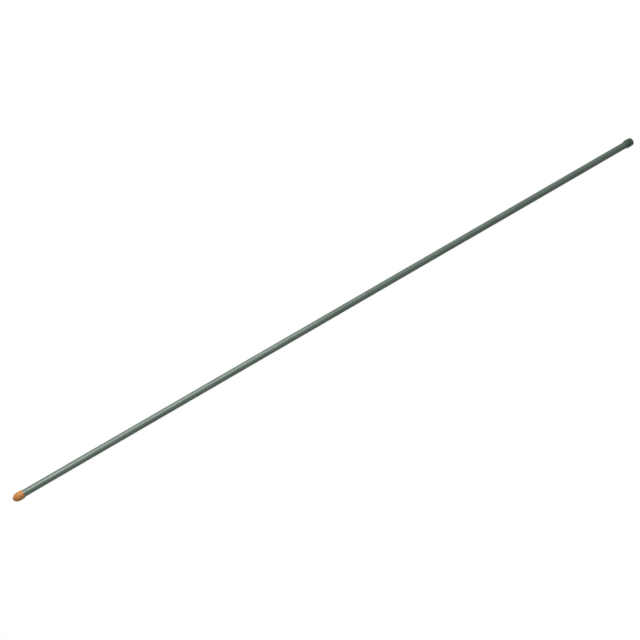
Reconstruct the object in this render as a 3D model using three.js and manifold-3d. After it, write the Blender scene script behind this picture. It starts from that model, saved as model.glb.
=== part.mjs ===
// A plant stake: a thin steel tube inside a plastic sheath, with a moulded point
// pushed over its lower end and a moulded cap pushed over its upper end.
// Lengths are in millimetres. +Z runs up the stake, and the tip of the point is
// at the origin, where the stake meets the ground.

import * as THREE from 'three';
import { mergeVertices, toCreasedNormals } from 'three/addons/utils/BufferGeometryUtils.js';
import Module from 'manifold-3d';

// The whole stake, from the tip of the point to the top of the cap
const STAKE_LENGTH = 1200;

// The steel tube, rolled from strip and welded along one seam
const TUBE_DIAMETER = 10.5;
const TUBE_WALL = 0.4;
const WELD_BEAD_HEIGHT = 0.2;
const WELD_BEAD_WIDTH = 1.4;

// The plastic sheath, extruded straight onto the tube
const SHEATH_WALL = 0.6;

// How the moulded ends hold: low ribs in the socket press on the sheath
const PRESS_CLEARANCE = 0.05;
const RIB_COUNT = 6;
const RIB_HEIGHT = 0.2;
const RIB_WIDTH = 1.2;
const RIB_CREST_WIDTH = 0.5;
const LEAD_IN_LENGTH = 1.5;
const LEAD_IN_FLARE = 0.1;

// The ground point: a solid nose, then a skirt round the end of the sheath, which
// bulges past the thin wall at its mouth
const POINT_NOSE_LENGTH = 11;
const POINT_SKIRT_LENGTH = 7.5;
const POINT_MOUTH_WALL = 0.6;
const POINT_BULGE = 0.65;
const POINT_EDGE_RADIUS = 0.2;
const SPIGOT_LENGTH = 12;
const SPIGOT_CHAMFER = 1;

// How full the nose is: 2 is half an ellipsoid, and more makes it blunter
const NOSE_FULLNESS = 2.1;

// The top cap: it bulges past the thin wall at its mouth, then tapers to a rounded
// crown with a flat top
const CAP_LENGTH = 15;
const CAP_SWELL_LENGTH = 5;
const CAP_MOUTH_WALL = 0.65;
const CAP_BULGE = 0.9;
const CAP_TOP_WALL = 1;
const CAP_CROWN_THICKNESS = 2.5;
const CAP_CORNER_RADIUS = 2.5;
const CAP_EDGE_RADIUS = 0.2;

// How far a cutting shape runs past the face that it opens
const OVERRUN = 1;

// How finely curves are drawn
const ROUND_STEPS = 72;
const ARC_STEPS = 3;
const NOSE_STEPS = 16;
const SHARP_EDGE_ANGLE = Math.PI / 6;
const MERGE_DISTANCE = 0.0001;
const AXES = 3;

const HALF = 0.5;
const TURN = 2 * Math.PI;
const QUARTER_TURN = Math.PI / 2;

// Sizes that follow from the ones above
const TUBE_RADIUS = TUBE_DIAMETER * HALF;
const BORE_RADIUS = TUBE_RADIUS - TUBE_WALL;
const SHEATH_RADIUS = TUBE_RADIUS + SHEATH_WALL;
const RIB_CREST_RADIUS = SHEATH_RADIUS + PRESS_CLEARANCE;
const SOCKET_RADIUS = RIB_CREST_RADIUS + RIB_HEIGHT;
const SPIGOT_RADIUS = BORE_RADIUS - WELD_BEAD_HEIGHT - PRESS_CLEARANCE;
const POINT_MOUTH_RADIUS = SHEATH_RADIUS + POINT_MOUTH_WALL;
const POINT_RADIUS = POINT_MOUTH_RADIUS + POINT_BULGE;
const POINT_LENGTH = POINT_NOSE_LENGTH + POINT_SKIRT_LENGTH;
const CAP_RADIUS = SHEATH_RADIUS + CAP_MOUTH_WALL + CAP_BULGE;
const CAP_TOP_RADIUS = SHEATH_RADIUS + CAP_TOP_WALL;
const CAP_SOCKET_DEPTH = CAP_LENGTH - CAP_CROWN_THICKNESS;

// The tube ends on the floor of each socket
const TUBE_BOTTOM = POINT_NOSE_LENGTH;
const TUBE_TOP = STAKE_LENGTH - CAP_CROWN_THICKNESS;
const TUBE_LENGTH = TUBE_TOP - TUBE_BOTTOM;
const CAP_MOUTH = STAKE_LENGTH - CAP_LENGTH;

const wasm = await Module();
wasm.setup();

const steel = new THREE.MeshStandardMaterial({ color: '#acb0b2', roughness: 0.36, metalness: 1 });
const sheathPlastic = new THREE.MeshStandardMaterial({ color: '#42574c', roughness: 0.36 });
const orangePlastic = new THREE.MeshStandardMaterial({ color: '#b87a42', roughness: 0.35 });
const greenPlastic = new THREE.MeshStandardMaterial({ color: '#243a2c', roughness: 0.35 });

// Turns a closed geometry into a solid that can be joined and cut
function solidOf(geometry) {
  const bare = new THREE.BufferGeometry();
  bare.setAttribute('position', geometry.getAttribute('position'));
  bare.setIndex(geometry.getIndex());
  const merged = mergeVertices(bare, MERGE_DISTANCE);
  const corners = merged.getIndex().array;
  const kept = [];
  for (let first = 0; first < corners.length; first += AXES) {
    const [a, b, c] = corners.subarray(first, first + AXES);
    if (a !== b && b !== c && c !== a) kept.push(a, b, c);
  }
  const vertProperties = merged.getAttribute('position').array;
  const triVerts = Uint32Array.from(kept);
  return new wasm.Manifold(new wasm.Mesh({ numProp: AXES, vertProperties, triVerts }));
}

// Turns a solid back into a geometry
function geometryOf(solid) {
  const { vertProperties, triVerts } = solid.getMesh();
  const geometry = new THREE.BufferGeometry();
  geometry.setAttribute('position', new THREE.BufferAttribute(vertProperties, AXES));
  geometry.setIndex(new THREE.BufferAttribute(triVerts, 1));
  return geometry;
}

// Spins an outline, drawn as radius and height, about the stake's axis
function revolve(outline) {
  const geometry = new THREE.LatheGeometry(outline, ROUND_STEPS);
  geometry.rotateX(QUARTER_TURN);
  return geometry;
}

// Raises a flat outline straight up the stake's axis
function raise(outline, holes, bottom, height) {
  const shape = new THREE.Shape(outline);
  shape.holes = holes.map((hole) => new THREE.Path(hole));
  const geometry = new THREE.ExtrudeGeometry(shape, { depth: height, bevelEnabled: false });
  geometry.translate(0, 0, bottom);
  return geometry;
}

// Points round the axis, where radiusAt gives the radius at each angle
function roundOutline(radiusAt) {
  const points = [];
  for (let step = 0; step < ROUND_STEPS; step += 1) {
    const angle = (TURN * step) / ROUND_STEPS;
    const radius = radiusAt(angle);
    points.push(new THREE.Vector2(radius * Math.cos(angle), radius * Math.sin(angle)));
  }
  return points;
}

// The tube's bore, with the weld bead standing in from the wall at angle zero
function boreRadiusAt(angle) {
  const fromSeam = Math.min(angle, TURN - angle) * BORE_RADIUS;
  const acrossBead = Math.min(fromSeam / (WELD_BEAD_WIDTH * HALF), 1);
  return BORE_RADIUS - WELD_BEAD_HEIGHT * Math.cos(acrossBead * QUARTER_TURN);
}

function steelTube() {
  const outside = roundOutline(() => TUBE_RADIUS);
  const bore = roundOutline(boreRadiusAt);
  return raise(outside, [bore], TUBE_BOTTOM, TUBE_LENGTH);
}

function plasticSheath() {
  const outside = roundOutline(() => SHEATH_RADIUS);
  const bore = roundOutline(() => TUBE_RADIUS);
  return raise(outside, [bore], TUBE_BOTTOM, TUBE_LENGTH);
}

// The socket's section: round, with ribs whose crests press on the sheath
function ribbedOutline() {
  const outline = new THREE.Path();
  const pitch = TURN / RIB_COUNT;
  const foot = RIB_WIDTH / SOCKET_RADIUS;
  const crest = RIB_CREST_WIDTH / RIB_CREST_RADIUS;
  for (let rib = 0; rib < RIB_COUNT; rib += 1) {
    const middle = pitch * rib;
    const crestSide = crest * HALF;
    const footSide = foot * HALF;
    outline.absarc(0, 0, RIB_CREST_RADIUS, middle - crestSide, middle + crestSide);
    outline.absarc(0, 0, SOCKET_RADIUS, middle + footSide, middle + pitch - footSide);
  }
  return outline.getPoints(ARC_STEPS);
}

// What is cut out of a moulded end between its floor and its mouth. The ribs fade
// out towards the mouth, so that the tube starts in easily. Direction is 1 where
// the mouth is above the floor, and -1 where it is below.
function socketCut(floor, mouth, direction) {
  const past = mouth + OVERRUN * direction;
  const bottom = Math.min(floor, past);
  const ribbed = solidOf(raise(ribbedOutline(), [], bottom, Math.abs(past - floor)));
  const flare = SOCKET_RADIUS + LEAD_IN_FLARE;
  const slope = (flare - RIB_CREST_RADIUS) / LEAD_IN_LENGTH;
  const inner = mouth - LEAD_IN_LENGTH * direction;
  const outline = [
    new THREE.Vector2(0, inner),
    new THREE.Vector2(RIB_CREST_RADIUS, inner),
    new THREE.Vector2(flare + slope * OVERRUN, past),
    new THREE.Vector2(0, past),
  ];
  if (direction < 0) outline.reverse();
  return ribbed.add(solidOf(revolve(outline)));
}

// A wall that bulges out along one arc, upright where the bulge is full, and ends in
// a rounded edge at the mouth. It gives the arc's radius, the angle at which the
// edge takes over, and how far the edge's centre lies inside the fullest radius.
function bulgeArc(bulge, length, edge) {
  const radius = HALF * ((length * length) / bulge + bulge);
  const angle = Math.asin((length - edge) / (radius - edge));
  return { radius, angle, inset: radius - (radius - edge) * Math.cos(angle) };
}

// The nose swells from the tip along one smooth curve and meets the skirt without
// a corner. The skirt draws in again towards its mouth.
function pointOutline() {
  const points = [];
  for (let step = 0; step < NOSE_STEPS; step += 1) {
    const toTip = Math.cos((QUARTER_TURN * step) / NOSE_STEPS);
    const radius = POINT_RADIUS * Math.sqrt(1 - toTip ** NOSE_FULLNESS);
    points.push(new THREE.Vector2(radius, POINT_NOSE_LENGTH * (1 - toTip)));
  }
  const skirt = new THREE.Path();
  const bulge = bulgeArc(POINT_BULGE, POINT_SKIRT_LENGTH, POINT_EDGE_RADIUS);
  const edge = POINT_RADIUS - bulge.inset;
  const edgeHeight = POINT_LENGTH - POINT_EDGE_RADIUS;
  skirt.absarc(POINT_RADIUS - bulge.radius, POINT_NOSE_LENGTH, bulge.radius, 0, bulge.angle);
  skirt.absarc(edge, edgeHeight, POINT_EDGE_RADIUS, bulge.angle, QUARTER_TURN);
  skirt.lineTo(0, POINT_LENGTH);
  return points.concat(skirt.getPoints(ARC_STEPS));
}

// The spigot stands on the socket's floor, fills the tube's bore past the weld
// bead and keeps the thin steel end round when the stake is pushed in
function spigot() {
  const root = POINT_NOSE_LENGTH - OVERRUN;
  const top = POINT_NOSE_LENGTH + SPIGOT_LENGTH;
  const outline = [
    new THREE.Vector2(0, root),
    new THREE.Vector2(SPIGOT_RADIUS, root),
    new THREE.Vector2(SPIGOT_RADIUS, top - SPIGOT_CHAMFER),
    new THREE.Vector2(SPIGOT_RADIUS - SPIGOT_CHAMFER, top),
    new THREE.Vector2(0, top),
  ];
  return revolve(outline);
}

function groundPoint() {
  const body = solidOf(revolve(pointOutline()));
  const socket = socketCut(POINT_NOSE_LENGTH, POINT_LENGTH, 1);
  return geometryOf(body.subtract(socket).add(solidOf(spigot())));
}

// The straight taper touches both the arc of the swell and the corner of the crown,
// so the wall has no crease
function capOutline() {
  const outline = new THREE.Path();
  const bulge = bulgeArc(CAP_BULGE, CAP_SWELL_LENGTH, CAP_EDGE_RADIUS);
  const edge = CAP_RADIUS - bulge.inset;
  const swell = CAP_RADIUS - bulge.radius;
  const swellHeight = CAP_MOUTH + CAP_SWELL_LENGTH;
  const corner = CAP_TOP_RADIUS - CAP_CORNER_RADIUS;
  const cornerHeight = STAKE_LENGTH - CAP_CORNER_RADIUS;
  const between = new THREE.Vector2(corner - swell, cornerHeight - swellHeight);
  const narrowing = Math.acos((bulge.radius - CAP_CORNER_RADIUS) / between.length());
  const lean = between.angle() - narrowing;
  outline.moveTo(0, CAP_MOUTH);
  outline.lineTo(edge, CAP_MOUTH);
  outline.absarc(edge, CAP_MOUTH + CAP_EDGE_RADIUS, CAP_EDGE_RADIUS, -QUARTER_TURN, -bulge.angle);
  outline.absarc(swell, swellHeight, bulge.radius, -bulge.angle, lean);
  outline.absarc(corner, cornerHeight, CAP_CORNER_RADIUS, lean, QUARTER_TURN);
  outline.lineTo(0, STAKE_LENGTH);
  return outline.getPoints(ARC_STEPS);
}

function topCap() {
  const body = solidOf(revolve(capOutline()));
  const floor = CAP_MOUTH + CAP_SOCKET_DEPTH;
  return geometryOf(body.subtract(socketCut(floor, CAP_MOUTH, -1)));
}

// One named piece of the stake
function piece(name, geometry, material) {
  const mesh = new THREE.Mesh(toCreasedNormals(geometry, SHARP_EDGE_ANGLE), material);
  mesh.name = name;
  return mesh;
}

const stake = new THREE.Group();
stake.name = 'plant_stake';
stake.add(piece('steel_tube', steelTube(), steel));
stake.add(piece('plastic_sheath', plasticSheath(), sheathPlastic));
stake.add(piece('ground_point', groundPoint(), orangePlastic));
stake.add(piece('top_cap', topCap(), greenPlastic));

export default stake;
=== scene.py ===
# %% [markdown]
# A plastic-sheathed plant stake, dressed for a studio picture.
#
# The real thing is 1.2 m long and less than 12 mm thick: a steel tube in a satin
# grey-green plastic sheath, an orange moulded point at the bottom and a dark green
# moulded cap at the top. The imported model already holds each piece at its true
# size, so this lesson keeps to that frame and only makes the surfaces finer and
# gives them their finish. The first cell loads the frame and keeps its box.

# %% Load the imported model
import math

import bpy
from mathutils import Matrix, Vector


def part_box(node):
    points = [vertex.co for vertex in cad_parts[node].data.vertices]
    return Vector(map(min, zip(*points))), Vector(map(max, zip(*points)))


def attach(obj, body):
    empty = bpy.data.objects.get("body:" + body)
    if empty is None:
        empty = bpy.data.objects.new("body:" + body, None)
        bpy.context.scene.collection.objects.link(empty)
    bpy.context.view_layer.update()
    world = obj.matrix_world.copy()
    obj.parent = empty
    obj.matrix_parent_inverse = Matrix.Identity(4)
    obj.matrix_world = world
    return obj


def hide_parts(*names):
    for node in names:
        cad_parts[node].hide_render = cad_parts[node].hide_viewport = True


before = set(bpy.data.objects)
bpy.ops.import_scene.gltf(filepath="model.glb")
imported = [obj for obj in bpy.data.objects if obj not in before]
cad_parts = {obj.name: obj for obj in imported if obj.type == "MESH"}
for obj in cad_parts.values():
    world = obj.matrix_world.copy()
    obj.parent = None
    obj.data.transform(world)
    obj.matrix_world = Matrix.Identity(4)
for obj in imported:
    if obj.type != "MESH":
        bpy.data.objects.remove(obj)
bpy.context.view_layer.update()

# %% [markdown]
# Blender works in metres and a maker thinks in millimetres, so lengths are written
# in millimetres and turned once. Paint and plastic colours are usually given as
# sRGB hex values, which a screen shows as they are, but a shader adds up light and
# needs them linear. One function does that for every colour in the file.

# %% Units and colours
MM = 0.001
HALF = 0.5
TURN, QUARTER_TURN = 2 * math.pi, HALF * math.pi
SHOWN_DIGITS = 3
SRGB_KNEE, SRGB_SLOPE, SRGB_OFFSET, SRGB_POWER = 0.04045, 12.92, 0.055, 2.4
RED_GREEN_BLUE = (1, 3, 5)
HEX_DIGITS, HEX_BASE = 2, 16
FULL_BYTE = 255


def linear(hex_colour):
    """Turns an sRGB colour such as "#44594d" into linear red, green, blue and alpha."""
    values = []
    for place in RED_GREEN_BLUE:
        share = int(hex_colour[place:place + HEX_DIGITS], HEX_BASE) / FULL_BYTE
        if share <= SRGB_KNEE:
            values.append(share / SRGB_SLOPE)
        else:
            values.append(((share + SRGB_OFFSET) / (1 + SRGB_OFFSET)) ** SRGB_POWER)
    return (*values, 1.0)


print("mid grey in linear light:", [round(v, SHOWN_DIGITS) for v in linear("#808080")])

# %% [markdown]
# Shaders and Geometry Nodes are both graphs, so one small helper serves both. It
# adds a node, sets its properties and fills its inputs, where an input is either a
# plain value or the output socket of an earlier node. Reading a graph from top to
# bottom is then like reading a recipe.

# %% One helper for every node
def add_node(tree, kind, inputs=None, **settings):
    """Adds one node. inputs maps a socket's name or number to a value or a socket."""
    node = tree.nodes.new(kind)
    for name, value in settings.items():
        setattr(node, name, value)
    for key, value in (inputs or {}).items():
        if isinstance(value, bpy.types.NodeSocket):
            tree.links.new(value, node.inputs[key])
        else:
            node.inputs[key].default_value = value
    return node


print("node helper ready")

# %% [markdown]
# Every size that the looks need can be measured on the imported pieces. A round piece
# is known once the radius of its outside is known at each height, so this cell reads
# those rings. When the solid model changes, the looks follow by themselves.

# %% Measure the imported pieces
HEIGHT_DIGITS = 6


def rings(node):
    """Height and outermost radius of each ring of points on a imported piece."""
    outermost = {}
    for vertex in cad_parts[node].data.vertices:
        height = round(vertex.co.z, HEIGHT_DIGITS)
        radius = math.hypot(vertex.co.x, vertex.co.y)
        outermost[height] = max(radius, outermost.get(height, 0.0))
    return sorted(outermost.items())


sheath_low, sheath_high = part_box("plastic_sheath")
tube_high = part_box("steel_tube")[1]
sheath_radius = sheath_high.x
sheath_bore = tube_high.x
stake_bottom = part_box("ground_point")[0].z
stake_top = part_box("top_cap")[1].z
print(f"stake {(stake_top - stake_bottom) / MM:.1f} mm long,"
      f" {(sheath_high.x - sheath_low.x) / MM:.1f} mm over the sheath")

# %% [markdown]
# The camera comes before anything else, because it decides how large each detail
# shows. In the picture the stake runs from lower left to upper right. Its two ends
# fix where it starts and stops, and its taper tells how far it leans away: the
# edges of a straight rod close in on each other by a few percent from the near end
# to the far end. Those two facts and the lens give one camera place, so nothing is
# aimed by hand.

# %% The camera
FRAME_PX = 640
NOSE_PX = (13.0, 499.8)
CAP_PX = (631.8, 141.1)
FOCAL_PX = 1400.0
LEAN_DEG = 13.4
SENSOR_MM = 36.0


def ray_through(pixel):
    """Unit direction through a pixel, in the camera's own axes."""
    right = (pixel[0] - FRAME_PX * HALF) / FOCAL_PX
    up = -(pixel[1] - FRAME_PX * HALF) / FOCAL_PX
    return Vector((right, up, -1.0)).normalized()


nose_ray, cap_ray = ray_through(NOSE_PX), ray_through(CAP_PX)
over_picture = Vector((CAP_PX[0] - NOSE_PX[0], NOSE_PX[1] - CAP_PX[1], 0.0)).normalized()
lean = math.radians(LEAN_DEG)
leaning_axis = over_picture * math.cos(lean) + Vector((0.0, 0.0, -math.sin(lean)))
stake_length = stake_top - stake_bottom

# The near end lies on the nose ray, and one stake length on lies the cap ray
side = nose_ray.cross(cap_ray).normalized()
stake_axis = (leaning_axis - side * leaning_axis.dot(side)).normalized()
near = stake_length * stake_axis.cross(cap_ray).dot(side) / cap_ray.cross(nose_ray).dot(side)
nose_place = nose_ray * near
to_axis = (nose_place - stake_axis * nose_place.dot(stake_axis)).normalized()
to_world = Matrix((to_axis.cross(stake_axis), to_axis, stake_axis))
camera_place = Vector((0.0, 0.0, stake_bottom)) - to_world @ nose_place

camera_data = bpy.data.cameras.new("studio_camera")
camera_data.sensor_width = SENSOR_MM
camera_data.lens = FOCAL_PX * SENSOR_MM / FRAME_PX
camera = bpy.data.objects.new("studio_camera", camera_data)
camera.matrix_world = Matrix.Translation(camera_place) @ to_world.to_4x4()
bpy.context.scene.collection.objects.link(camera)
bpy.context.scene.camera = camera
print("camera at", [round(v, SHOWN_DIGITS) for v in camera_place], f"near end {near:.3f} m away")

# %% [markdown]
# A studio for a product picture is mostly white: white walls all round, and large
# soft lamps that shape the object. The walls are the world. What the camera, a
# glossy reflection or a clear pass sees of them is plain white at strength 1. What
# they throw on dull surfaces is set lower, because the lamps give the rest. That
# level is also what the shaded side of the stake gets, so it sets the contrast.

# %% White surroundings
AMBIENT = 0.25
WALL_WHITE = "#ffffff"


def is_seen(tree):
    """1 for what the camera sees, straight or by a reflection or a clear pass, else 0."""
    ray = add_node(tree, "ShaderNodeLightPath").outputs
    seen = add_node(tree, "ShaderNodeMath", {
        0: ray["Is Camera Ray"], 1: ray["Is Glossy Ray"]}, operation="MAXIMUM")
    return add_node(tree, "ShaderNodeMath", {
        0: seen.outputs[0], 1: ray["Is Transmission Ray"]}, operation="MAXIMUM").outputs[0]


world = bpy.data.worlds.new("white_studio")
world.use_nodes = True
bpy.context.scene.world = world
walls = world.node_tree
walls.nodes.clear()
strength = add_node(walls, "ShaderNodeMapRange", {
    "Value": is_seen(walls), "To Min": AMBIENT, "To Max": 1.0})
back = add_node(walls, "ShaderNodeBackground", {
    "Color": linear(WALL_WHITE), "Strength": strength.outputs["Result"]})
add_node(walls, "ShaderNodeOutputWorld", {"Surface": back.outputs[0]})
bpy.context.scene.view_settings.view_transform = "Standard"
print("world light on dull surfaces:", AMBIENT)

# %% [markdown]
# The floor is a pale disc under the tip, painted matt white. Paint alone would show
# a little grey, because the light is kept low enough for the stake's colours, so
# the board also glows faintly for the camera. The two add up to the white of the
# walls, and as the paint is still all there, it takes the stake's shadow. Towards
# the rim the board fades into the white of the walls, as a curved paper sweep does
# in a studio, so that its edge shows from no side. The disc stays small, so that a
# lamp can stand beside it and shine on the stake from low down.

# %% The floor
FLOOR_RADIUS = 0.8
FLOOR_SIDES = 96
BOARD_WHITE = "#f6f6f4"
FLOOR_GLOW = 0.45
FADE_FROM, FADE_TO = 0.15, 0.65

floor_mesh = bpy.data.meshes.new("floor")
rim = [(FLOOR_RADIUS * math.cos(TURN * k / FLOOR_SIDES),
        FLOOR_RADIUS * math.sin(TURN * k / FLOOR_SIDES), stake_bottom)
       for k in range(FLOOR_SIDES)]
floor_mesh.from_pydata(rim, [], [list(range(FLOOR_SIDES))])
floor = bpy.data.objects.new("floor", floor_mesh)
bpy.context.scene.collection.objects.link(floor)

board = bpy.data.materials.new("matt_white_board")
board.use_nodes = True
coat = board.node_tree
coat.nodes.clear()
board_seen = is_seen(coat)
glow_strength = add_node(coat, "ShaderNodeMath", {
    0: board_seen, 1: FLOOR_GLOW}, operation="MULTIPLY")
glow = add_node(coat, "ShaderNodeEmission", {
    "Color": linear(WALL_WHITE), "Strength": glow_strength.outputs[0]})
paint = add_node(coat, "ShaderNodeBsdfDiffuse", {"Color": linear(BOARD_WHITE)})
painted = add_node(coat, "ShaderNodeAddShader", {0: paint.outputs[0], 1: glow.outputs[0]})
from_tip = add_node(coat, "ShaderNodeVectorMath", {
    0: add_node(coat, "ShaderNodeTexCoord").outputs["Object"]}, operation="LENGTH")
sweep = add_node(coat, "ShaderNodeMapRange", {
    "Value": from_tip.outputs["Value"], "From Min": FADE_FROM, "From Max": FADE_TO},
    interpolation_type="SMOOTHSTEP")
fade = add_node(coat, "ShaderNodeMath", {
    0: sweep.outputs["Result"], 1: board_seen}, operation="MULTIPLY")
wall_white = add_node(coat, "ShaderNodeEmission", {"Color": linear(WALL_WHITE)})
swept = add_node(coat, "ShaderNodeMixShader", {
    0: fade.outputs[0], 1: painted.outputs[0], 2: wall_white.outputs[0]})
add_node(coat, "ShaderNodeOutputMaterial", {"Surface": swept.outputs[0]})
floor_mesh.materials.append(board)
print("floor at", round(stake_bottom, SHOWN_DIGITS), "m")

# %% [markdown]
# A softbox is an area lamp, and its size is what matters: on a round rod it shows
# as a band as wide as the softbox looks from there. The picture has one broad soft
# band, on the left of the stake as the camera sees it, and the band fades towards
# the top. So the main softbox is wide, stands close on the left and reaches only up
# to the lower half of the stake. A large dim panel behind it carries the same side
# up to the cap. A third panel stands behind the stake and to its right, and draws a
# thin line of light along the edge of the shaded side. The floor keeps the lower
# half of the main softbox from the very tip, so a low strip makes up for it there.
# The strip stands just beyond the floor's rim, because any nearer it would light one
# patch of the floor far past white, and the patch would eat into the stake's edges
# in front of it. A lamp is placed by how far round to the left of the camera it
# stands, its distance and its height, and it faces the stake. Its power follows from
# the brightness of its face, so it can be moved or resized without a new guess. The
# camera sees none of the lamps.

# %% The softboxes
LAMPS = {
    # name: degrees to the left, distance, height, width, tallness, brightness
    "key_softbox": (50, 1.25, 0.30, 1.4, 1.10, 4.9),
    "side_panel": (50, 2.60, 1.20, 3.0, 3.00, 0.9),
    "edge_panel": (220, 2.00, 0.80, 1.2, 1.60, 3.3),
    "low_strip": (39, 0.85, 0.03, 0.75, 0.06, 18.0),
}


def softbox(name, left, distance, height, width, tallness, brightness):
    """An area lamp with an evenly bright face, where 1 is the white of the walls."""
    data = bpy.data.lights.new(name, "AREA")
    data.shape = "RECTANGLE"
    data.size, data.size_y = width, tallness
    data.energy = brightness * math.pi * width * tallness
    lamp = bpy.data.objects.new(name, data)
    turn = math.radians(left)
    away = Vector((-math.sin(turn), -math.cos(turn), 0.0))
    place = away * distance + Vector((0.0, 0.0, height))
    facing = away.to_track_quat("Z", "Y").to_matrix().to_4x4()
    lamp.matrix_world = Matrix.Translation(place) @ facing
    lamp.visible_camera = False
    bpy.context.scene.collection.objects.link(lamp)
    print(f"{name}: {data.energy:.1f} W at", [round(v, SHOWN_DIGITS) for v in place])


for lamp_name, lamp_values in LAMPS.items():
    softbox(lamp_name, *lamp_values)

# %% [markdown]
# All three plastic pieces are polyethylene, the usual plastic for garden goods. It
# is a little waxy: the gloss is soft, and the colour sits in the plastic itself, so
# there is no paint to chip. The sheath is extruded, pushed out of a die round the
# tube, and every small nick in the die draws one long faint line. The material
# shows that with noise that is squeezed across the rod and stretched along it. The
# finest lines have their real pitch, about 0.3 mm, and show only from near. A
# picture of the whole stake can't show those, so broader streaks, several times
# coarser than any real ones, carry the same grain there. Slow clouds stand for the
# pigment, which is never mixed quite evenly.

# %% Extruded sheath plastic
POLYETHYLENE_IOR = 1.51
NOISE_LOW, NOISE_HIGH = 0.3, 0.7
NOISE_DETAIL = 3.0
SHEATH_COLOURS = ("#38493f", "#44544a", "#506156")
SHEATH_ROUGHNESS = (0.25, 0.29)
SHEATH_SPECULAR = 0.4
SHEATH_LINE_PITCH, SHEATH_LINE_RUN = 0.3 * MM, 40 * MM
SHEATH_LINE_DEPTH = 0.02 * MM
SHEATH_STREAK_PITCH, SHEATH_STREAK_RUN = 1.6 * MM, 150 * MM
SHEATH_CLOUD = 35 * MM


def start_material(name, plain):
    """A material whose shader has these plain values. Returns it with what to build on."""
    material = bpy.data.materials.new(name)
    material.use_nodes = True
    graph = material.node_tree
    graph.nodes.clear()
    place = add_node(graph, "ShaderNodeTexCoord")
    shader = add_node(graph, "ShaderNodeBsdfPrincipled", plain)
    add_node(graph, "ShaderNodeOutputMaterial", {"Surface": shader.outputs[0]})
    return material, graph, place.outputs["Object"], shader


def grain(graph, place, across, along):
    """Noise with one size across the stake and another along it, both in metres."""
    stretch = add_node(graph, "ShaderNodeMapping", {
        "Vector": place, "Scale": (1 / across, 1 / across, 1 / along)})
    return add_node(graph, "ShaderNodeTexNoise", {
        "Vector": stretch.outputs[0], "Scale": 1.0, "Detail": NOISE_DETAIL}).outputs["Fac"]


def between(graph, amount, limits):
    """Maps a noise value onto a plain range of numbers."""
    return add_node(graph, "ShaderNodeMapRange", {
        "Value": amount, "From Min": NOISE_LOW, "From Max": NOISE_HIGH,
        "To Min": limits[0], "To Max": limits[1]}).outputs["Result"]


def tint(graph, amount, colours):
    """Blends evenly spaced colours by a noise value."""
    ramp = add_node(graph, "ShaderNodeValToRGB", {"Fac": amount})
    stops = ramp.color_ramp.elements
    step = (NOISE_HIGH - NOISE_LOW) / (len(colours) - 1)
    while len(stops) < len(colours):
        stops.new(HALF)
    for place, colour in enumerate(colours):
        stops[place].position = NOISE_LOW + step * place
        stops[place].color = linear(colour)
    return ramp.outputs["Color"]


def emboss(graph, shader, height, depth):
    """Lets a noise value stand out of the surface by a real depth."""
    bump = add_node(graph, "ShaderNodeBump", {"Height": height, "Distance": depth})
    graph.links.new(bump.outputs[0], shader.inputs["Normal"])


def sheath_plastic():
    """Satin green-grey with fine lines along it, a touch uneven, like drawn plastic."""
    material, graph, place, shader = start_material("satin_extruded_polyethylene", {
        "IOR": POLYETHYLENE_IOR, "Specular IOR Level": SHEATH_SPECULAR})
    lines = grain(graph, place, SHEATH_LINE_PITCH, SHEATH_LINE_RUN)
    streaks = grain(graph, place, SHEATH_STREAK_PITCH, SHEATH_STREAK_RUN)
    clouds = grain(graph, place, SHEATH_CLOUD, SHEATH_CLOUD)
    mixed = add_node(graph, "ShaderNodeMix", {"Factor": HALF, "A": streaks, "B": clouds})
    colour = tint(graph, mixed.outputs[0], SHEATH_COLOURS)
    graph.links.new(colour, shader.inputs["Base Color"])
    graph.links.new(between(graph, streaks, SHEATH_ROUGHNESS), shader.inputs["Roughness"])
    emboss(graph, shader, lines, SHEATH_LINE_DEPTH)
    return material


sheath_finish = sheath_plastic()
print("sheath finish:", sheath_finish.name)

# %% [markdown]
# The orange point and the green cap are injection moulded. Molten plastic runs in
# from one spot and leaves soft flow marks a few millimetres wide, and the mould is
# lightly blasted, so the skin has a fine even grain. Real blasting leaves a grain of
# about 0.15 mm, which would not show even from near, so it is drawn at 0.35 mm. The
# two pigments behave differently. Orange lets a little light into the plastic and
# out again a few millimetres on, so the shaded side of the point stays warm, and a
# rougher mould leaves it nearly matt. The cap's dark green stops the light at the
# skin. A smoother mould leaves the cap as satin as the sheath, so it is the darker
# green that sets it apart where its edge is less than a millimetre proud.

# %% Moulded plastics
POINT_COLOURS = ("#9e6c38", "#a3703c", "#a87440")
POINT_ROUGHNESS = (0.42, 0.56)
POINT_PLAIN = {
    "IOR": POLYETHYLENE_IOR,
    "Specular IOR Level": 0.2,
    "Subsurface Weight": 0.4,
    "Subsurface Radius": (1.0, 0.5, 0.25),
    "Subsurface Scale": 3 * MM,
}
CAP_COLOURS = ("#1b3224", "#203a29", "#264231")
CAP_ROUGHNESS = (0.22, 0.30)
CAP_PLAIN = {"IOR": POLYETHYLENE_IOR, "Specular IOR Level": 0.36}
FLOW_WIDTH, FLOW_LENGTH = 5 * MM, 7 * MM
BLAST_GRAIN = 0.35 * MM
BLAST_DEPTH = 0.03 * MM


def moulded_plastic(name, colours, roughness, plain_values):
    """An even coloured skin with a soft shine, and slow clouds where plastic flowed."""
    material, graph, place, shader = start_material(name, plain_values)
    flow = grain(graph, place, FLOW_WIDTH, FLOW_LENGTH)
    blast = grain(graph, place, BLAST_GRAIN, BLAST_GRAIN)
    graph.links.new(tint(graph, flow, colours), shader.inputs["Base Color"])
    graph.links.new(between(graph, blast, roughness), shader.inputs["Roughness"])
    emboss(graph, shader, blast, BLAST_DEPTH)
    return material


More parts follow.
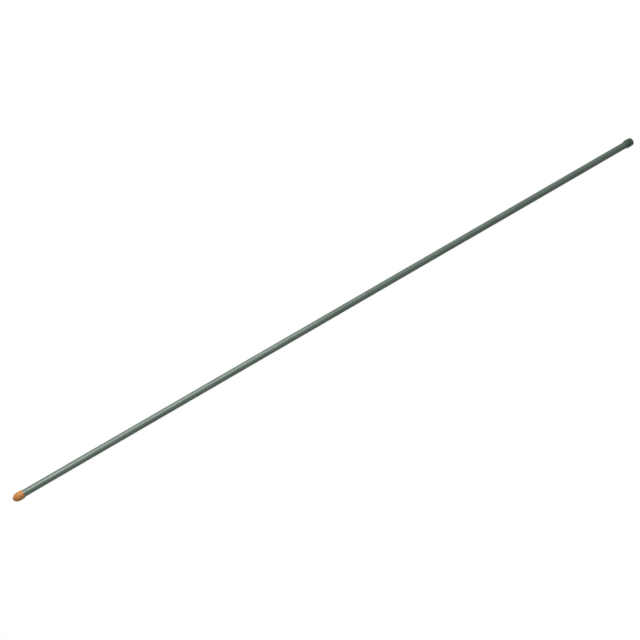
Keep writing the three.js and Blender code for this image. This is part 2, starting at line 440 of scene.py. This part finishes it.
point_finish = moulded_plastic(
    "orange_moulded_polyethylene", POINT_COLOURS, POINT_ROUGHNESS, POINT_PLAIN)
cap_finish = moulded_plastic(
    "green_moulded_polyethylene", CAP_COLOURS, CAP_ROUGHNESS, CAP_PLAIN)
print("moulded finishes:", point_finish.name, cap_finish.name)

# %% [markdown]
# The steel tube is hidden between the sheath, the point and the cap, but it is a
# real piece and keeps a real finish: cold-rolled strip, bright grey with fine
# rolling lines along its length. A metal's colour is its reflection, so Metallic is
# 1 and the IOR stays at its default.

# %% Rolled steel
STEEL_COLOURS = ("#a4a8aa", "#b4b8ba")
STEEL_ROUGHNESS = (0.30, 0.42)
ROLLING_PITCH, ROLLING_RUN = 0.8 * MM, 60 * MM


def rolled_steel():
    """Bright grey metal with a brushed look along the tube."""
    material, graph, place, shader = start_material("cold_rolled_steel", {"Metallic": 1.0})
    rolling = grain(graph, place, ROLLING_PITCH, ROLLING_RUN)
    graph.links.new(tint(graph, rolling, STEEL_COLOURS), shader.inputs["Base Color"])
    graph.links.new(between(graph, rolling, STEEL_ROUGHNESS), shader.inputs["Roughness"])
    return material


steel_finish = rolled_steel()
print("tube finish:", steel_finish.name)

# %% [markdown]
# All three plastic pieces are round, so each is a profile spun about the stake's
# axis. A modelling tool's spin would do, but then the small things that a machine
# leaves on a round surface would have to be modelled by hand. Geometry Nodes give
# them as a rule instead. The tree takes the profile as a chain of points, lays a
# grid with one row for each point of the chain, and rolls the grid into a tube.
# Each point of the chain also says, from 0 to 1, how much of each rule it takes.

# %% Start a Geometry Nodes tree
def new_tree(name, sockets):
    """A tree with named inputs. Returns it, its input node and each input's identifier."""
    tree = bpy.data.node_groups.new(name, "GeometryNodeTree")
    face = tree.interface
    face.new_socket("Geometry", in_out="OUTPUT", socket_type="NodeSocketGeometry")
    face.new_socket("Profile", in_out="INPUT", socket_type="NodeSocketGeometry")
    keys = {}
    for label, kind in sockets.items():
        keys[label] = face.new_socket(label, in_out="INPUT", socket_type=kind).identifier
    return tree, add_node(tree, "NodeGroupInput").outputs, keys


def maths(tree, operation, first, second=0.0):
    """One sum on numbers or sockets."""
    return add_node(tree, "ShaderNodeMath", {0: first, 1: second},
                    operation=operation).outputs[0]


spin, given, spin_keys = new_tree("spin_profile", {
    "Steps Round": "NodeSocketInt",
    "Rib Count": "NodeSocketInt",
    "Rib Height": "NodeSocketFloat",
    "Rib Share": "NodeSocketFloat",
    "Line Pitch": "NodeSocketFloat",
    "Line Run": "NodeSocketFloat",
    "Line Depth": "NodeSocketFloat",
    "Seed": "NodeSocketInt",
    "Finish": "NodeSocketMaterial",
})
print("tree inputs:", list(spin_keys))

# %% [markdown]
# A grid numbers its points column by column. Dividing a point's number by the rows
# in a column gives which column it is in, which is how far round it lies, and what
# is left over is its place on the profile. Sample Index then fetches that profile
# point's radius, its height and its two shares.

# %% Roll a grid round the axis
rows = add_node(spin, "GeometryNodeAttributeDomainSize", {
    "Geometry": given["Profile"]}).outputs["Point Count"]
columns = maths(spin, "ADD", given["Steps Round"], 1.0)
grid = add_node(spin, "GeometryNodeMeshGrid", {"Vertices X": columns, "Vertices Y": rows})
number = add_node(spin, "GeometryNodeInputIndex").outputs[0]
on_profile = maths(spin, "MODULO", number, rows)
column = maths(spin, "FLOOR", maths(spin, "DIVIDE", number, rows))
angle = maths(spin, "MULTIPLY", maths(spin, "DIVIDE", column, given["Steps Round"]), TURN)


def from_profile(value, kind):
    """What the profile holds at this point's place on it."""
    return add_node(spin, "GeometryNodeSampleIndex", {
        "Geometry": given["Profile"], "Value": value, "Index": on_profile},
        data_type=kind).outputs[0]


def share_named(name):
    """One of the profile's shares, which the chain stores under this name."""
    named = add_node(spin, "GeometryNodeInputNamedAttribute", {"Name": name})
    return from_profile(named.outputs[0], "FLOAT")


position = add_node(spin, "GeometryNodeInputPosition").outputs[0]
on_chain = from_profile(position, "FLOAT_VECTOR")
chain_axes = add_node(spin, "ShaderNodeSeparateXYZ", {0: on_chain}).outputs
plain_radius, ring_height = chain_axes["X"], chain_axes["Z"]
rib_share, line_share = share_named("rib_share"), share_named("line_share")
round_x, round_y = maths(spin, "COSINE", angle), maths(spin, "SINE", angle)
print("grid rolled from", rows.name, "rows")

# %% [markdown]
# Two rules change the radius. Ribs stand in from the socket wall of the moulded
# ends and grip the sheath: a cosine with as many waves as there are ribs is near 1
# along each rib, and clipping it leaves low flat-topped ridges. Die lines are the
# faint ridges along an extruded surface: noise that is fine across and long along.

# %% Ribs and die lines
wave = maths(spin, "COSINE", maths(spin, "MULTIPLY", angle, given["Rib Count"]))
ridge = add_node(spin, "ShaderNodeMapRange", {
    "Value": wave, "From Min": maths(spin, "SUBTRACT", 1.0, given["Rib Share"]),
    "From Max": 1.0}, interpolation_type="SMOOTHSTEP").outputs["Result"]
rib = maths(spin, "MULTIPLY", maths(spin, "MULTIPLY", ridge, given["Rib Height"]), rib_share)

fine = maths(spin, "DIVIDE", plain_radius, given["Line Pitch"])
long = maths(spin, "DIVIDE", ring_height, given["Line Run"])
noise_place = add_node(spin, "ShaderNodeCombineXYZ", {
    "X": maths(spin, "MULTIPLY", round_x, fine), "Y": maths(spin, "MULTIPLY", round_y, fine),
    "Z": maths(spin, "ADD", long, given["Seed"])})
die_noise = add_node(spin, "ShaderNodeTexNoise", {
    "Vector": noise_place.outputs[0], "Scale": 1.0, "Detail": 1.0}).outputs["Fac"]
full_line = maths(spin, "MULTIPLY", maths(spin, "SUBTRACT", die_noise, HALF),
                  given["Line Depth"])
die_line = maths(spin, "MULTIPLY", full_line, line_share)
ring_radius = maths(spin, "ADD", maths(spin, "SUBTRACT", plain_radius, rib), die_line)
print("rules ready: ribs and die lines")

# %% [markdown]
# The last nodes put each point in its place. The grid's first and last columns now
# lie on each other, and so do the points of a row that sits on the axis, so Merge by
# Distance closes the piece. Faces are smooth except over real corners. Realize
# Instances and Set Material end the tree, because an export keeps neither instances
# nor a material that is not on the mesh.

# %% Close and finish the spun piece
WELD = 0.0005 * MM
CORNER = math.radians(35)

rolled = add_node(spin, "ShaderNodeCombineXYZ", {
    "X": maths(spin, "MULTIPLY", round_x, ring_radius),
    "Y": maths(spin, "MULTIPLY", round_y, ring_radius), "Z": ring_height})
placed = add_node(spin, "GeometryNodeSetPosition", {
    "Geometry": grid.outputs["Mesh"], "Position": rolled.outputs[0]})
closed = add_node(spin, "GeometryNodeMergeByDistance", {
    "Geometry": placed.outputs[0], "Distance": WELD})
smooth = add_node(spin, "GeometryNodeSetShadeSmooth", {
    "Geometry": closed.outputs[0], "Shade Smooth": True})
bend = add_node(spin, "GeometryNodeInputMeshEdgeAngle").outputs["Unsigned Angle"]
is_corner = maths(spin, "GREATER_THAN", bend, CORNER)
crisp = add_node(spin, "GeometryNodeSetShadeSmooth", {
    "Geometry": smooth.outputs[0], "Selection": is_corner, "Shade Smooth": False}, domain="EDGE")
real = add_node(spin, "GeometryNodeRealizeInstances", {"Geometry": crisp.outputs[0]})
finished = add_node(spin, "GeometryNodeSetMaterial", {
    "Geometry": real.outputs[0], "Material": given["Finish"]})
add_node(spin, "NodeGroupOutput", {"Geometry": finished.outputs[0]})
print("tree", spin.name, "has", len(spin.nodes), "nodes")

# %% [markdown]
# A profile is written as a list of points: radius, height, and the two shares. This
# cell turns such a list into a chain of edges, runs the tree on it and keeps the
# result as a plain mesh, with the modifier taken off again. It then counts open
# edges, because a piece that is not closed has no inside.

# %% Spin a profile into a piece
FACES_AT_AN_EDGE = 2


def spin_piece(name, profile, values):
    """Spins (radius, height, rib share, line share) points into one closed piece."""
    radii, heights, rib_shares, line_shares = zip(*profile)
    chain = bpy.data.meshes.new(name)
    links = [(k, k + 1) for k in range(len(profile) - 1)]
    chain.from_pydata([(r, 0.0, h) for r, h in zip(radii, heights)], links, [])
    for label, shares in (("rib_share", rib_shares), ("line_share", line_shares)):
        stored = chain.attributes.new(label, "FLOAT", "POINT")
        stored.data.foreach_set("value", shares)
    piece = bpy.data.objects.new(name, chain)
    bpy.context.scene.collection.objects.link(piece)
    modifier = piece.modifiers.new("spin", "NODES")
    modifier.node_group = spin
    for label, value in values.items():
        modifier[spin_keys[label]] = value
    made = piece.evaluated_get(bpy.context.evaluated_depsgraph_get())
    mesh = bpy.data.meshes.new_from_object(made)
    piece.modifiers.remove(modifier)
    piece.data = mesh
    mesh.name = name
    sides = [0] * len(mesh.edges)
    for loop in mesh.loops:
        sides[loop.edge_index] += 1
    loose = sum(1 for count in sides if count != FACES_AT_AN_EDGE)
    print(f"{name}: {len(mesh.polygons)} faces, {loose} open edges,"
          f" z {min(v.co.z for v in mesh.vertices) / MM:.2f}"
          f" to {max(v.co.z for v in mesh.vertices) / MM:.2f} mm")
    return piece


print("ready to spin")

# %% [markdown]
# The sheath is the long grey-green surface. Its profile is a thin upright rectangle:
# up the outside, over the cut end, down along the steel and back. The outside has a
# ring every 12 mm, so that the die lines can drift as they do when the line speed
# wanders. The relief is real but tiny, and stays well inside the 0.05 mm that the
# ends leave round the sheath.

# %% The extruded sheath
SHEATH_STEPS_ROUND = 144
SHEATH_RING_STEP = 12 * MM
DIE_LINE_PITCH, DIE_LINE_RUN = 2.2 * MM, 220 * MM
DIE_LINE_DEPTH = 0.03 * MM
DIE_LINE_SEED = 4


def sheath_profile():
    """Up the outside, which takes the die lines, over the top and down the bore."""
    length = sheath_high.z - sheath_low.z
    count = round(length / SHEATH_RING_STEP)
    points = [(sheath_radius, sheath_low.z + length * ring / count, 0.0, 1.0)
              for ring in range(count + 1)]
    points.append((sheath_bore, sheath_high.z, 0.0, 0.0))
    points.append((sheath_bore, sheath_low.z, 0.0, 0.0))
    return points + points[:1]


sheath = spin_piece("extruded_sheath", sheath_profile(), {
    "Steps Round": SHEATH_STEPS_ROUND,
    "Line Pitch": DIE_LINE_PITCH,
    "Line Run": DIE_LINE_RUN,
    "Line Depth": DIE_LINE_DEPTH,
    "Seed": DIE_LINE_SEED,
    "Finish": sheath_finish,
})
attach(sheath, "root")
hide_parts("plastic_sheath")

# %% [markdown]
# The two moulded ends share three things, so three functions serve both. A wall
# bulges out along one arc and ends in a small rounded edge at the mouth, which is
# how such a piece slips through soil or a hand without catching. Where the wall is
# fullest the two halves of the mould meet, and they leave a parting line, a fine
# ridge all the way round. Inside, six low ribs grip the sheath, and they fade out in
# a short lead-in, so that the tube starts in easily.

# %% What both moulded ends share
PRESS_CLEARANCE = 0.05 * MM
RIB_HEIGHT = 0.2 * MM
RIB_COUNT = 6
RIB_SHARE = 0.22
LEAD_IN = 1.5 * MM
LEAD_FLARE = 0.1 * MM
MOUTH_ROUND = 0.2 * MM
PARTING_HEIGHT, PARTING_WIDTH = 0.03 * MM, 0.3 * MM
ENDS_STEPS_ROUND = 144
ARC_RINGS = 8

socket_radius = sheath_radius + PRESS_CLEARANCE + RIB_HEIGHT


def plain(points):
    """Profile points that take no ribs and no die lines."""
    return [(radius_now, height_now, 0.0, 0.0) for radius_now, height_now in points]


def arc(centre, radius, start, end):
    """Radius and height of points along a round stretch of an outline."""
    angles = [start + (end - start) * ring / ARC_RINGS for ring in range(ARC_RINGS + 1)]
    return [(centre[0] + radius * math.cos(turn), centre[1] + radius * math.sin(turn))
            for turn in angles]


def bulge_radius(amount, length):
    """Radius of the arc that bulges by an amount over a length."""
    return HALF * (length * length / amount + amount)


def wall_to_mouth(fullest, height, mouth, amount):
    """From the parting line at the fullest ring to the rounded edge at the mouth."""
    length = abs(mouth - height)
    way = (mouth - height) / length
    big = bulge_radius(amount, length)
    turn = math.asin((length - MOUTH_ROUND) / (big - MOUTH_ROUND))
    inner = big - MOUTH_ROUND
    edge = (fullest - big + inner * math.cos(turn), inner * math.sin(turn))
    crest = [(fullest + PARTING_HEIGHT, 0.0), (fullest, PARTING_WIDTH * HALF)]
    bulge = arc((fullest - big, 0.0), big, 0.0, turn)
    lip = arc(edge, MOUTH_ROUND, turn, QUARTER_TURN)
    return [(radius_now, height + way * rise)
            for radius_now, rise in crest + bulge[1:] + lip[1:]]


def socket_wall(mouth, bottom):
    """From the mouth to the socket's floor. The rib share grows to 1 in the lead-in."""
    way = (bottom - mouth) / abs(bottom - mouth)
    flare_length = LEAD_IN * LEAD_FLARE / (LEAD_FLARE + RIB_HEIGHT)
    return [
        (socket_radius + LEAD_FLARE, mouth, 0.0, 0.0),
        (socket_radius, mouth + way * flare_length, 0.0, 0.0),
        (socket_radius, mouth + way * LEAD_IN, 1.0, 0.0),
        (socket_radius, bottom, 1.0, 0.0),
    ]


def moulded_end(name, profile, finish):
    """Spins the profile of a moulded end, with ribs in its socket and no die lines."""
    return spin_piece(name, profile, {
        "Steps Round": ENDS_STEPS_ROUND,
        "Rib Count": RIB_COUNT,
        "Rib Height": RIB_HEIGHT,
        "Rib Share": RIB_SHARE,
        "Finish": finish,
    })


def outer_gap(node, profile):
    """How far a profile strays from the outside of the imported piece, in millimetres."""
    worst = 0.0
    for height_now, radius_now in rings(node):
        met = [low[0] + (high[0] - low[0]) * (height_now - low[1]) / (high[1] - low[1])
               for low, high in zip(profile, profile[1:])
               if min(low[1], high[1]) <= height_now <= max(low[1], high[1]) and low[1] != high[1]]
        if met and radius_now > socket_radius + LEAD_FLARE:
            worst = max(worst, abs(max(met) - radius_now))
    return worst / MM


print(f"socket radius {socket_radius / MM:.3f} mm")

# %% [markdown]
# The ground point is one moulding: a full round nose, a skirt over the end of the
# sheath, and a spigot that stands up inside the tube. Its profile starts on the axis
# at the tip, climbs the nose on one smooth curve, goes along the bulging skirt and
# over the mouth, down the socket to its floor, and up and over the spigot to the
# axis again. The nose is a little blunter than half an ellipsoid, which a power of 2
# would draw: a blunt nose is harder to snap and does not pierce a hand.

# %% The moulded ground point
NOSE_POWER = 2.1
NOSE_RINGS = 40
POINT_BULGE = 0.65 * MM
SPIGOT_CHAMFER = 1 * MM

point_rings = rings("ground_point")
nose_length = sheath_low.z
nose_radius = max(radius_now for _, radius_now in point_rings)
point_mouth = max(height_now for height_now, radius_now in point_rings
                  if radius_now > socket_radius)
spigot_height, spigot_top_radius = point_rings[-1]
spigot_radius = spigot_top_radius + SPIGOT_CHAMFER
print(f"nose {nose_length / MM:.2f} long and {nose_radius / MM:.2f} in radius,"
      f" mouth at {point_mouth / MM:.2f}, spigot {spigot_radius / MM:.2f} in radius"
      f" up to {spigot_height / MM:.2f} mm")


def point_profile():
    """From the tip, over the outside and the mouth, to the top of the spigot."""
    nose = []
    for ring in range(NOSE_RINGS):
        to_skirt = math.cos(QUARTER_TURN * ring / NOSE_RINGS)
        nose.append((nose_radius * math.sqrt(1.0 - to_skirt ** NOSE_POWER),
                     nose_length * (1.0 - to_skirt)))
    skirt = wall_to_mouth(nose_radius, nose_length, point_mouth, POINT_BULGE)
    spigot = [
        (spigot_radius, nose_length),
        (spigot_radius, spigot_height - SPIGOT_CHAMFER),
        (spigot_top_radius, spigot_height),
        (0.0, spigot_height),
    ]
    return plain(nose + skirt) + socket_wall(point_mouth, nose_length) + plain(spigot)


point = moulded_end("moulded_point", point_profile(), point_finish)
print(f"outside within {outer_gap('ground_point', point_profile()):.3f} mm of the packed piece")
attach(point, "root")
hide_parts("ground_point")

# %% [markdown]
# The cap is a short cup. Its wall swells from a thin lip at the mouth, then runs
# straight and slightly inward, so that the mould can let go of it, to a rounded
# crown with a small flat top. The straight stretch touches both arcs, which takes
# one sum: the angle between the line of their centres and the line that touches
# both. In the middle of the flat is the gate mark, where the plastic ran in: a
# shallow dish with a cut-off nub in it, kept below the surface so that the top
# stays flat to the hand.

# %% The moulded cap
CAP_BULGE = 0.9 * MM
CAP_SWELL = 5 * MM
CROWN_ROUND = 2.5 * MM
# The parting line takes the place of the swell's first rings
RINGS_UNDER_PARTING = 2
GATE_DISH_RADIUS = 1.6 * MM
GATE_DISH_DEPTH = 0.25 * MM
GATE_NUB_RADIUS = 0.55 * MM
GATE_NUB_HEIGHT = 0.15 * MM

cap_rings = rings("top_cap")
cap_mouth = cap_rings[0][0]
cap_radius = max(radius_now for _, radius_now in cap_rings)
flat_radius = cap_rings[-1][1]
print(f"cap from {cap_mouth / MM:.2f} to {stake_top / MM:.2f} mm, fullest radius"
      f" {cap_radius / MM:.2f}, flat {flat_radius / MM:.2f} in radius")


def cap_profile():
    """From the socket's floor, over the mouth and the outside, to the gate mark."""
    fullest = cap_mouth + CAP_SWELL
    big = bulge_radius(CAP_BULGE, CAP_SWELL)
    swell, crown = (cap_radius - big, fullest), (flat_radius, stake_top - CROWN_ROUND)
    rise, run = crown[1] - swell[1], crown[0] - swell[0]
    taper = math.atan2(rise, run) - math.acos((big - CROWN_ROUND) / math.hypot(rise, run))
    wall = wall_to_mouth(cap_radius, fullest, cap_mouth, CAP_BULGE)[::-1]
    wall.append((cap_radius, fullest + PARTING_WIDTH * HALF))
    wall += arc(swell, big, 0.0, taper)[RINGS_UNDER_PARTING:]
    wall += arc(crown, CROWN_ROUND, taper, QUARTER_TURN)
    dish = stake_top - GATE_DISH_DEPTH
    gate = [
        (GATE_DISH_RADIUS, stake_top),
        (GATE_DISH_RADIUS - GATE_DISH_DEPTH, dish),
        (GATE_NUB_RADIUS, dish),
        (GATE_NUB_RADIUS, dish + GATE_NUB_HEIGHT),
        (0.0, dish + GATE_NUB_HEIGHT),
    ]
    socket = socket_wall(cap_mouth, tube_high.z)[::-1]
    return plain([(0.0, tube_high.z)]) + socket + plain(wall + gate)


cap = moulded_end("moulded_cap", cap_profile(), cap_finish)
print(f"outside within {outer_gap('top_cap', cap_profile()):.3f} mm of the packed piece")
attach(cap, "root")
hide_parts("top_cap")

# %% [markdown]
# The steel tube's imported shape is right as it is, so it stays and only takes its
# finish.

# %% The steel tube
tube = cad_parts["steel_tube"]
tube.data.materials.clear()
tube.data.materials.append(steel_finish)
print("steel tube keeps its", len(tube.data.polygons), "packed faces")
